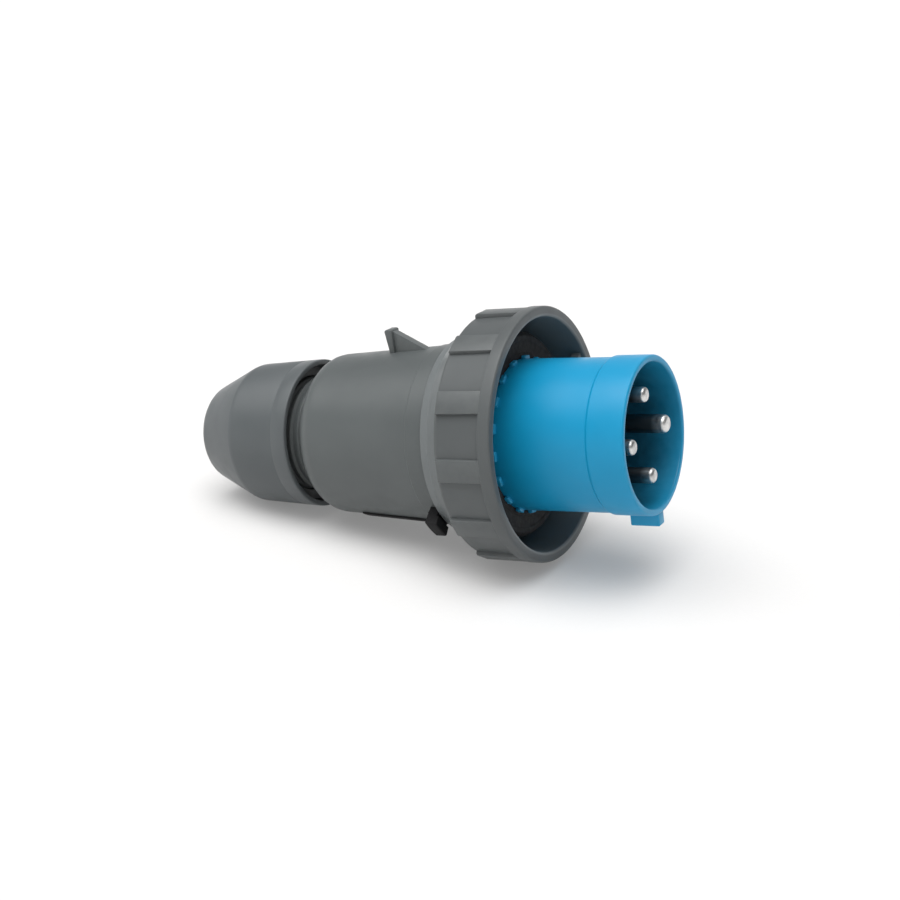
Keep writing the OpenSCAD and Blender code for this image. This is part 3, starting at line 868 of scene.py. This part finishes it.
@dataclass
class ContactSet:
    """Contact pins in their carrier, with terminals, screws and the plate behind the core."""

    lines: tuple[str, ...] = ("l1", "l2", "l3", "earth")
    circle_radius: float = 13.05
    radii: tuple[float, ...] = (2.5, 3.0, 2.5, 2.5)
    face: float = 38.0
    boss_height: float = 1.2
    boss_wall: float = 1.3
    boss_draft: float = 0.25
    boss_room: float = 0.12
    boss_root: float = 0.4

    def bosses(self) -> list[Solid]:
        """Make the raised collars that the pins stand in.

        Returns:
            The collars, in the order of their angles.
        """
        made = []
        for i, radius in enumerate(self.radii):
            inner = radius + self.boss_room
            top, root = -self.face + self.boss_height, -self.face - self.boss_root
            collar = turned([
                (top, inner, 0.2), (top, inner + self.boss_wall, 0.4),
                (root, inner + self.boss_wall + self.boss_draft, 0.0), (root, inner, 0.0)],
                Round.SMALL)
            bmesh.ops.translate(collar, vec=(0, 0, self.circle_radius), verts=collar.verts)
            made.append(round_axis(collar, i * 360 / len(self.radii)))
        return made

    def build(self, shop: Workshop) -> None:
        """Shape and dress the carrier, the pins and what is behind them.

        Args:
            shop: Workshop that finishes the pieces.
        """
        carrier = shop.merged(Label("carrier", "contact_carrier", Finish.CARRIER_BLUE_PAINTED_SHADE))
        shape = join(self.bosses())
        shape.transform(shop.place.matrix())
        shape.from_mesh(carrier.data)
        shape.to_mesh(carrier.data)
        shape.free()
        shade_smooth(carrier.data)
        for line in self.lines:
            shop.merged(Label(f"contact_{line}", f"pin_{line}", Finish.CONTACT_NICKEL))
            shop.merged(Label(f"clamp_screw_{line}", f"terminal_screw_{line}", Finish.SCREW_ZINC))
        shop.merged(Label("closing_plate", "pin_retainer", Finish.CARRIER_BLUE_PAINTED_SHADE))
        for side in ("a", "b"):
            shop.merged(Label(f"plate_screw_{side}", f"retainer_screw_{side}", Finish.SCREW_ZINC))


@dataclass
class Seals:
    """Rubber gasket before the flange, and the sealing ring behind it."""

    front: float = 44.5
    rear: float = 48.0
    radius: float = 33.0
    bore: float = 24.5
    dish: float = 0.35
    inner_lip: float = 1.6
    outer_lip: float = 2.6
    lip_slope: float = 0.4
    rim: float = 1.2

    def gasket(self) -> Solid:
        """Turn the gasket, whose face is dished between two lips.

        Returns:
            The closed solid.
        """
        inner, outer, floor = self.bore + self.inner_lip, self.radius, -self.front - self.dish
        return turned([
            (-self.front, self.bore, 0.3), (-self.front, inner, 0.25),
            (floor, inner + self.lip_slope, 0.2),
            (floor, outer - self.outer_lip - self.lip_slope, 0.2),
            (-self.front, outer - self.outer_lip, 0.25), (-self.front, outer - self.rim, 0.5),
            (-self.front - self.rim, outer, 0.5), (-self.rear, outer, 0.2),
            (-self.rear, self.bore, 0.0)])

    def build(self, shop: Workshop) -> None:
        """Shape and dress the gasket and the sealing ring."""
        shop.finish(Label("gasket", "flange_gasket", Finish.SEAL_RUBBER), self.gasket())
        shop.merged(Label("sealing_ring", "housing_seal", Finish.SEAL_RUBBER))


@dataclass
class LockingRing:
    """Grey bayonet ring with its grip ribs, cone, collar, ramps and snap groove."""

    radius: float = 41.1
    wall: float = 3.5
    front: float = 36.3
    band: float = 4.2
    band_end: float = 0.15
    panel_start: float = 0.1
    front_round: float = 0.8
    ribs: int = 12
    rib_width: float = 7.2
    rib_rear: float = 55.7
    rib_drop: float = 0.2
    rib_taper: float = 0.4
    rib_edge: float = 0.35
    rib_root: float = 1.0
    panel_depth: float = 1.3
    cone_foot: float = 62.6
    collar_front_radius: float = 32.8
    collar_rear_radius: float = 32.2
    rear: float = 65.5
    bore: float = 30.3
    web_front: float = 56.0
    bead_groove: Band = Band(58.6, 61.2, 32.7)
    ramps: int = 2
    ramp_inset: float = 1.5
    ramp_root: float = 0.8
    ramp_height: float = 1.9
    ramp_width: float = 3.0
    ramp_rise: float = 3.6
    ramp_sweep: float = 60.0
    ramp_at: float = 90.0
    ramp_steps: int = 30

    @property
    def inner(self) -> float:
        """Radius inside the ring's front."""
        return self.radius - self.wall

    def body(self) -> Solid:
        """Turn the ring without its ribs and ramps.

        Returns:
            The closed solid.
        """
        panel, rib_front = self.radius - self.panel_depth, self.front + self.band
        return turned([
            (-self.front, self.inner, self.front_round),
            (-self.front, self.radius, self.front_round),
            (-rib_front + self.band_end, self.radius, 0.25),
            (-rib_front - self.panel_start, panel, 0.2),
            (-self.rib_rear, panel - self.rib_taper, 1.2),
            (-self.cone_foot, self.collar_front_radius, 1.5),
            (-self.rear, self.collar_rear_radius, 0.6), (-self.rear, self.bore, 0.2),
            *reversed(self.bead_groove.corners(self.bore)),
            (-self.web_front, self.bore, 0.0), (-self.web_front, self.inner, 3.0)])

    def rib(self, angle: float) -> Solid:
        """Make one flat-topped grip rib with softened edges.

        Args:
            angle: Its angle round the axis.

        Returns:
            The closed solid.
        """
        top, foot = self.radius - self.rib_drop, self.radius - self.panel_depth - self.rib_root
        front = -(self.front + self.band) + self.rib_root
        shape = prism([(front, foot, 0.0), (front, top, 0.0),
                       (-self.rib_rear, self.radius - self.rib_taper, 0.8),
                       (-self.rib_rear, foot, 0.0)], self.rib_width, self.rib_edge)
        return round_axis(shape, angle)

    def ramp(self, angle: float) -> Solid:
        """Make one slanted bayonet ramp inside the ring.

        Args:
            angle: Angle of its middle round the axis.

        Returns:
            The closed solid.
        """
        middle = self.front + self.ramp_inset + (self.ramp_width + self.ramp_rise) / 2
        half = self.ramp_width / 2
        root, top = self.inner + self.ramp_root, self.inner - self.ramp_height
        shape = arc_block([(-middle - half, root, 0.0), (-middle + half, root, 0.0),
                           (-middle + half, top, 0.5), (-middle - half, top, 0.5)],
                          angle, self.ramp_sweep, self.ramp_steps)
        for vert in shape.verts:
            at = math.degrees(math.atan2(vert.co.y, vert.co.z)) - angle
            at = (at + 180.0) % 360.0 - 180.0
            vert.co.x -= self.ramp_rise * at / self.ramp_sweep
        return shape

    def build(self, shop: Workshop) -> None:
        """Shape and dress the ring.

        Args:
            shop: Workshop that finishes the pieces.
        """
        ribs = [self.rib(i * 360 / self.ribs) for i in range(self.ribs)]
        ramps = [self.ramp(self.ramp_at + i * 360 / self.ramps) for i in range(self.ramps)]
        shape = join([self.body(), *ribs, *ramps])
        shop.finish(Label("grip_ring", "locking_ring", Finish.RING_GREY, Body.RING), shape)


@dataclass
class RearHousing:
    """Grey housing with its hook, bead, stop lug and threaded neck, and the catch on its side."""

    front: float = 55.7
    front_radius: float = 30.0
    rear: float = 118.0
    rear_radius: float = 26.65
    shoulder_round: float = 7.5
    wall: float = 2.6
    bore: float = 26.5
    bead: Band = Band(58.9, 60.9, 31.0, 0.4)
    step: float = 72.5
    step_height: float = 0.3
    spigot_rear: float = 67.7
    seat_gap: float = 1.0
    seat_lip: float = 1.2
    floor_round: float = 2.0
    inner_taper: float = 1.0
    neck_radius: float = 19.6
    neck_rear: float = 136.0
    neck_bore: float = 15.2
    neck_floor: float = 119.5
    passage: float = 12.0
    thread_depth: float = 0.8
    thread_pitch: float = 3.0
    thread_tip: float = 0.35
    thread_sink: float = 0.15
    thread_front: float = 2.2
    thread_plain: float = 4.0
    thread_steps: int = 64
    hook_top: float = 36.0
    hook_foot: float = 76.2
    hook_slope: float = 12.0
    hook_root: float = 1.0
    post_thickness: float = 3.0
    post_lean: float = 1.5
    post_width: float = 5.0
    post_edge: float = 0.4
    web_width: float = 3.0
    web_drop: float = 0.6
    web_sink: float = 0.2
    web_edge: float = 0.3
    stop_radius: float = 32.4
    stop_angle: float = 30.0
    stop_width: float = 14.0
    stop_inset: float = 0.5
    stop_root: float = 1.0
    stop_steps: int = 8
    catch_angle: float = -132.0
    catch_sweep: float = 13.0
    catch_front: float = 65.8
    catch_rear: float = 69.4
    catch_radius: float = 36.3
    catch_root: float = 1.5
    catch_nose: float = 0.8
    catch_edge: float = 0.3
    catch_steps: int = 16
    nose_radius: float = 33.1
    foot_front: float = 67.4
    foot_rear: float = 71.9
    foot_steps: int = 30
    leaf_rear: float = 102.0
    leaf_angle: float = -154.0
    leaf_sweep: float = 13.0
    leaf_thickness: float = 0.6
    leaf_root: float = 0.6
    leaf_lap: float = 0.5
    leaf_steps: int = 12

    def skin(self, setback: float) -> float:
        """Radius of the tapered outside at a setback."""
        slope = (self.front_radius - self.rear_radius) / (self.rear - self.bead.rear)
        return self.front_radius - max(0.0, setback - self.bead.rear) * slope

    def shell(self) -> Solid:
        """Turn the housing and the plain core of its neck.

        Returns:
            The closed solid.
        """
        root, floor = self.neck_radius - self.thread_depth, self.rear - self.wall
        seat = self.spigot_rear + self.seat_gap
        return turned([
            (-self.front, self.bore, 0.0), (-self.front, self.front_radius, 0.5),
            *self.bead.corners(self.front_radius),
            (-self.step, self.skin(self.step) + self.step_height, 0.25),
            (-self.step - self.step_height, self.skin(self.step + self.step_height), 0.2),
            (-self.rear, self.rear_radius, self.shoulder_round), (-self.rear, root, 0.4),
            (-self.neck_rear, root, 0.4), (-self.neck_rear, self.neck_bore, 0.3),
            (-self.neck_floor, self.neck_bore, 0.0), (-self.neck_floor, self.passage, 0.0),
            (-floor, self.passage, 0.0),
            (-(floor - self.floor_round), self.rear_radius - self.wall - self.inner_taper,
             self.floor_round),
            (-seat, self.bore - self.seat_lip, 0.0), (-seat, self.bore, 0.0)], segments=6)

    def thread(self) -> Solid:
        """Wind the neck's thread from a short ridge.

        Returns:
            The closed solid, whose root lies under the neck's skin.
        """
        root, tip = self.neck_radius - self.thread_depth - self.thread_sink, self.neck_radius
        start, third = -self.rear - self.thread_front, self.thread_pitch / 3
        turns = (self.neck_rear - self.rear - self.thread_plain) / self.thread_pitch
        count = int(turns * self.thread_steps)
        ridge = rounded_outline([
            (start + third, root, 0.0), (start + self.thread_tip, tip, 0.15),
            (start - self.thread_tip, tip, 0.15), (start - third, root, 0.0)], 2)
        return swept(ridge, math.tau * count / self.thread_steps, count,
                     advance=-self.thread_pitch / self.thread_steps)

    def hook(self) -> Solid:
        """Make the coupling hook: a sloping web that rises to a post.

        Returns:
            The web and the post in one mesh.
        """
        low, top = self.rear_radius - self.hook_root, self.hook_foot + self.hook_slope
        ridge, middle = self.hook_top - self.web_drop, -top - self.post_thickness / 2
        web = prism([(-self.hook_foot, low, 0.0),
                     (-self.hook_foot, self.skin(self.hook_foot) - self.web_sink, 0.0),
                     (-top, ridge, 0.0), (middle, ridge, 0.0), (middle, low, 0.0)],
                    self.web_width, self.web_edge)
        post = prism([(-top, low, 0.0), (-top, self.hook_top, 0.7),
                      (-top - self.post_thickness, self.hook_top, 0.7),
                      (-top - self.post_thickness + self.post_lean, low, 0.0)],
                     self.post_width, self.post_edge)
        return join([web, post])

    def stop_lug(self) -> Solid:
        """Make the lug that stops the ring's turn.

        Returns:
            The closed solid.
        """
        front, rear = self.bead.front + self.stop_inset, self.bead.rear - self.stop_inset
        section = Band(front, rear, self.stop_radius).corners(self.front_radius - self.stop_root)
        return arc_block(section, self.stop_angle, self.stop_width, self.stop_steps)

    def catch(self) -> Solid:
        """Make the catch, whose nose reaches over the ring's collar.

        Returns:
            The closed solid.
        """
        nose, foot = self.catch_front - self.catch_nose, self.front_radius - self.catch_root
        shape = arc_block([
            (-self.catch_front, foot, 0.0), (-self.catch_front, self.nose_radius, 0.0),
            (-nose, self.nose_radius, 0.0), (-nose, self.catch_radius, 0.6),
            (-self.catch_rear, self.catch_radius, 1.0), (-self.catch_rear, foot, 0.0)],
            self.catch_angle, self.catch_sweep, self.catch_steps)
        soften_edges(shape, self.catch_edge, above=60.0)
        return shape

    def strip(self, front: float, rear: float, lap: float, rounding: float,
              arc: tuple[float, float, int]) -> Solid:
        """Make a thin strip that lies on the housing's skin.

        Args:
            front: Setback of its front end.
            rear: Setback of its rear end.
            lap: How far its front end reaches on, under the piece before it.
            rounding: Rounding of its rear edge.
            arc: Angle of its middle, angle that it covers, and steps along it.

        Returns:
            The closed solid.
        """
        ahead, behind = self.skin(front), self.skin(rear)
        return arc_block([
            (-front + lap, ahead - self.leaf_root, 0.0),
            (-front + lap, ahead + self.leaf_thickness, 0.2),
            (-rear, behind + self.leaf_thickness, rounding),
            (-rear, behind - self.leaf_root, 0.0)], *arc)

    def build(self, shop: Workshop) -> None:
        """Shape and dress the housing and its catch, with the catch's foot and leaf.

        Args:
            shop: Workshop that finishes the pieces.
        """
        shape = join([self.shell(), self.thread(), self.hook(), self.stop_lug()])
        shop.finish(Label("housing", "rear_housing", Finish.HOUSING_GREY), shape)
        reach = self.catch_angle - self.leaf_angle + self.leaf_sweep / 2
        foot = self.strip(self.foot_front, self.foot_rear, 0.0, 0.2,
                          (self.catch_angle - reach / 2, reach, self.foot_steps))
        leaf = self.strip(self.foot_rear, self.leaf_rear, self.leaf_lap, 0.3,
                          (self.leaf_angle, self.leaf_sweep, self.leaf_steps))
        shop.finish(Label("catch", "housing_catch", Finish.CATCH_BLACK),
                    join([self.catch(), foot, leaf]))


@dataclass
class CableGland:
    """Gland nut with the washer, the clamp cage and the seal that it presses."""

    front: float = 122.1
    front_radius: float = 25.4
    corner: float = 145.8
    corner_radius: float = 24.1
    corner_round: float = 5.0
    rear: float = 165.3
    end_radius: float = 15.3
    end_round: float = 6.0
    recess: float = 5.0
    recess_taper: float = 0.4
    wall: float = 1.8
    thread_bore: float = 19.9
    thread_rear: float = 139.3
    seat_front: float = 156.2
    pocket: float = 12.5
    cord_radius: float = 9.5
    cord_length: float = 6.5
    line_setback: float = 5.6
    line_profile: tuple[Pair, ...] = (
        (0.0, 0.0), (0.15, 0.08), (0.45, 0.08), (0.6, 0.03))

    def nut(self) -> Solid:
        """Turn the nut, with the shallow line round its front band.

        Returns:
            The closed solid.
        """
        slope = (self.front_radius - self.corner_radius) / (self.corner - self.front)
        at = self.front + self.line_setback
        line = self.front_radius - slope * self.line_setback
        mouth = -self.rear + self.cord_length
        return turned([
            (-self.front, self.front_radius - self.wall, 0.4),
            (-self.front, self.front_radius, 0.6),
            *[(-at - back, line - depth, 0.0) for back, depth in self.line_profile],
            (-self.corner, self.corner_radius, self.corner_round),
            (-self.rear, self.end_radius, self.end_round), (-self.rear, self.cord_radius, 0.8),
            (mouth, self.cord_radius, 0.0), (mouth, self.pocket, 0.0),
            (-self.seat_front, self.pocket, 0.0), (-self.thread_rear, self.thread_bore, 0.0),
            (-self.front - self.recess, self.thread_bore, 0.0),
            (-self.front - self.recess, self.front_radius - self.wall - self.recess_taper, 0.5)],
            segments=8)

    def build(self, shop: Workshop) -> None:
        """Shape and dress the gland.

        Args:
            shop: Workshop that finishes the pieces.
        """
        shop.finish(Label("nut", "gland_nut", Finish.NUT_GREY, Body.NUT), self.nut())
        shop.merged(Label("slip_washer", "gland_washer", Finish.SCREW_ZINC, Body.WASHER))
        shop.merged(Label("finger_cage", "clamp_cage", Finish.CAGE_GREY))
        shop.merged(Label("grommet", "gland_seal", Finish.SEAL_RUBBER))


@dataclass(frozen=True)
class Softlight:
    """One soft round patch of light, with the cosines at its edge and at its full glow."""

    towards: Triple
    edge: float
    core: float
    glow: float


@dataclass
class Studio:
    """White paper floor, soft light and the photograph's camera.

    The light is a white room. Each fade gives the room's brightness at two values of a
    direction, and those values: above the floor, and towards the right and the left wall.
    """

    camera_place: Triple = (0.242591, -0.44088, 0.214059)
    camera_turn: Triple = (69.8564, -1.4617, 28.4918)
    lens: float = 64.0
    floor_size: float = 6.0
    floor_squares: int = 8
    lamps: tuple[Softlight, ...] = (
        Softlight((0.0, -0.20, 0.98), 0.80, 0.985, 4.0),
        Softlight((-0.66, -0.22, 0.72), 0.885, 0.965, 2.1),
    )
    skirting: Limits = (1.0, 0.0, 0.08, 0.30)
    fade_right: Limits = (0.86, 0.22, -0.1, 0.7)
    fade_left: Limits = (0.10, 1.0, -0.9, -0.1)

    def camera(self) -> None:
        """Set the camera at the photograph's place."""
        data = bpy.data.cameras.new("photo_camera")
        data.lens = self.lens
        data.sensor_width = 36.0
        data.clip_start = 0.01
        data.clip_end = 50.0
        holder = bpy.data.objects.new("photo_camera", data)
        holder.location = self.camera_place
        holder.rotation_euler = [math.radians(a) for a in self.camera_turn]
        bpy.context.scene.collection.objects.link(holder)
        bpy.context.scene.camera = holder

    def floor(self, place: Placement) -> None:
        """Lay the paper under the plug.

        Args:
            place: Placement of the plug.
        """
        sheet = bmesh.new()
        bmesh.ops.create_grid(sheet, x_segments=self.floor_squares,
                              y_segments=self.floor_squares, size=self.floor_size)
        mesh = bpy.data.meshes.new("paper_floor")
        sheet.to_mesh(mesh)
        sheet.free()
        paper = bpy.data.objects.new("paper_floor", mesh)
        mesh.materials.append(StudioPaper().build(place))
        bpy.context.scene.collection.objects.link(paper)

    def surroundings(self) -> None:
        """Light the plug by a white room with soft lamps and walls that are dimmer at the sides."""
        world = bpy.data.worlds.new("white_room")
        world.use_nodes = True
        nodes = Nodes(world.node_tree)
        way = nodes.add("ShaderNodeTexCoord", {}).outputs["Generated"]
        split = nodes.add("ShaderNodeSeparateXYZ", {"Vector": way}).outputs
        sides = [nodes.spread(split["X"], *fade, smooth=True)
                 for fade in (self.fade_right, self.fade_left)]
        # The walls are white just above the floor, so that low views show no dark edge behind it
        low = nodes.spread(split["Z"], *self.skirting, smooth=True)
        light = nodes.pair(Rule.LARGER, nodes.pair(Rule.PRODUCT, *sides), low)
        for lamp in self.lamps:
            inputs = {0: way, 1: Vector(lamp.towards).normalized()}
            towards = nodes.add("ShaderNodeVectorMath", inputs, operation="DOT_PRODUCT")
            patch = nodes.spread(towards.outputs["Value"], 0.0, lamp.glow, lamp.edge, lamp.core,
                                 smooth=True)
            light = nodes.pair(Rule.SUM, light, patch)
        nodes.fill(world.node_tree.nodes["Background"],
                   {"Color": (1.0, 1.0, 1.0, 1.0), "Strength": light})
        bpy.context.scene.world = world
        bpy.context.scene.view_settings.view_transform = "Standard"

    def build(self, place: Placement) -> None:
        """Set up the studio.

        Args:
            place: Placement of the plug.
        """
        self.camera()
        self.floor(place)
        self.surroundings()


def main() -> None:
    """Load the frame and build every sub-assembly."""
    logging.basicConfig(level=logging.INFO, format="%(message)s")
    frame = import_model()
    joint = next(j for j in frame["joints"] if j["name"] == "ring_turn")
    place = Placement.from_ring_joint(joint, PIVOT_SETBACK)
    shop = Workshop(frame, place)
    for assembly in (PlugSleeve(), ContactSet(), Seals(), LockingRing(), RearHousing(),
                     CableGland()):
        assembly.build(shop)
        log.info("%s is done", type(assembly).__name__)
    Studio().build(place)


if __name__ == "__main__":
    main()
